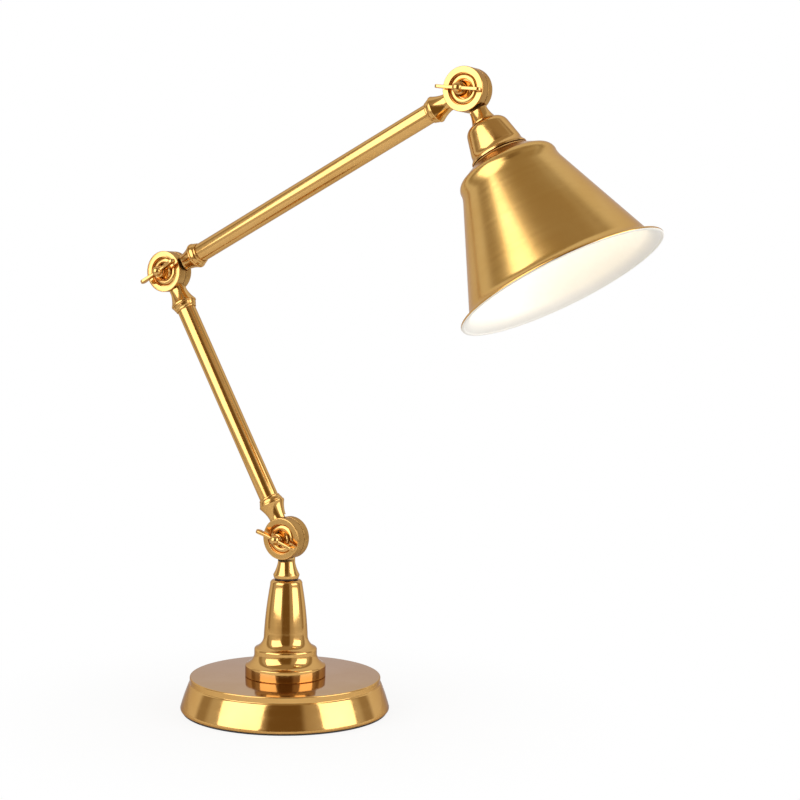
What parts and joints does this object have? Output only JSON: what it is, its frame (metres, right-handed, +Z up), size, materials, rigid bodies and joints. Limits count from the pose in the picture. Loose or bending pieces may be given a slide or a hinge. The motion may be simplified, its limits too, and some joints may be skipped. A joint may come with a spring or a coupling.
{
  "type": "articulated desk lamp",
  "caption": "Brass desk lamp: round weighted base, turned stem, two tube arms on wing-nut knuckle joints and a tilting spun cone shade.",
  "frame": {"origin": "centre of the round base on the face it stands on", "axes": "+Z up; the arms and shade swing in the XZ plane with the shade on the +X side; wing nuts face -Y and the cord leaves towards +Y"},
  "size_m": [0.4399, 0.1667, 0.5],
  "materials": {
    "brass": "satin polished, fine turned grain, clear lacquer",
    "shade_brass": "satin spun brass outside, warm white enamel inside",
    "iron": "black painted casting",
    "steel": "zinc plated",
    "rubber": "matt black",
    "fibre": "dark fibre",
    "phenolic": "black moulding",
    "contact_brass": "plain pressed brass",
    "bulb_metal": "pressed screw cap",
    "opal_glass": "opal white"
  },
  "bodies": {
    "base": {"base_pad": "rubber", "base_shell": "brass", "base_weight": "iron", "cord_bush": "rubber", "stem": "brass", "stem_screws": "steel", "swivel_ring": "fibre"},
    "stem_head": {"stem_head": "brass", "swivel_spring": "steel", "swivel_nut": "steel", "shoulder_bolt": "brass"},
    "lower_arm": {"shoulder_front": "brass", "shoulder_friction_ring": "fibre", "shoulder_washer": "steel", "lower_tube": "brass", "lower_ferrules": "brass", "elbow_front": "brass", "elbow_friction_ring": "fibre", "elbow_washer": "steel"},
    "upper_arm": {"elbow_back": "brass", "elbow_bolt": "brass", "upper_tube": "brass", "upper_ferrules": "brass", "wrist_front": "brass", "wrist_friction_ring": "fibre", "wrist_washer": "steel"},
    "head": {"wrist_back": "brass", "wrist_bolt": "brass", "socket_cup": "brass", "head_nipple": "steel", "head_nut": "steel", "holder_cap": "phenolic", "holder_body": "phenolic", "holder_contact": "contact_brass", "holder_shell": "contact_brass", "shade_ring": "phenolic", "bulb_cap": "bulb_metal", "bulb_globe": "opal_glass", "shade": "shade_brass"},
    "shoulder_wing_nut": {"shoulder_wing_nut": "brass"},
    "elbow_wing_nut": {"elbow_wing_nut": "brass"},
    "wrist_wing_nut": {"wrist_wing_nut": "brass"}
  },
  "joints": [
    {"name": "stem_swivel", "type": "hinge", "parent": "base", "child": "stem_head", "pos_m": [0, 0, 0.105], "axis": [0, 0, 1], "range_deg": [-170, 170]},
    {"name": "shoulder_tilt", "type": "hinge", "parent": "stem_head", "child": "lower_arm", "pos_m": [0, 0, 0.13833], "axis": [0, -1, 0], "range_deg": [-40, 55]},
    {"name": "elbow_tilt", "type": "hinge", "parent": "lower_arm", "child": "upper_arm", "pos_m": [-0.11771, 0, 0.34792], "axis": [0, -1, 0], "range_deg": [-38, 92]},
    {"name": "wrist_tilt", "type": "hinge", "parent": "upper_arm", "child": "head", "pos_m": [0.1559, 0, 0.48332], "axis": [0, -1, 0], "range_deg": [-35, 95]},
    {"name": "shoulder_nut_turn", "type": "hinge", "parent": "stem_head", "child": "shoulder_wing_nut", "pos_m": [0, 0, 0.13833], "axis": [0, -1, 0], "range_deg": [-20, 180]},
    {"name": "elbow_nut_turn", "type": "hinge", "parent": "upper_arm", "child": "elbow_wing_nut", "pos_m": [-0.11771, 0, 0.34792], "axis": [0, -1, 0], "range_deg": [-20, 180]},
    {"name": "wrist_nut_turn", "type": "hinge", "parent": "head", "child": "wrist_wing_nut", "pos_m": [0.1559, 0, 0.48332], "axis": [0, -1, 0], "range_deg": [-20, 180]}
  ]
}
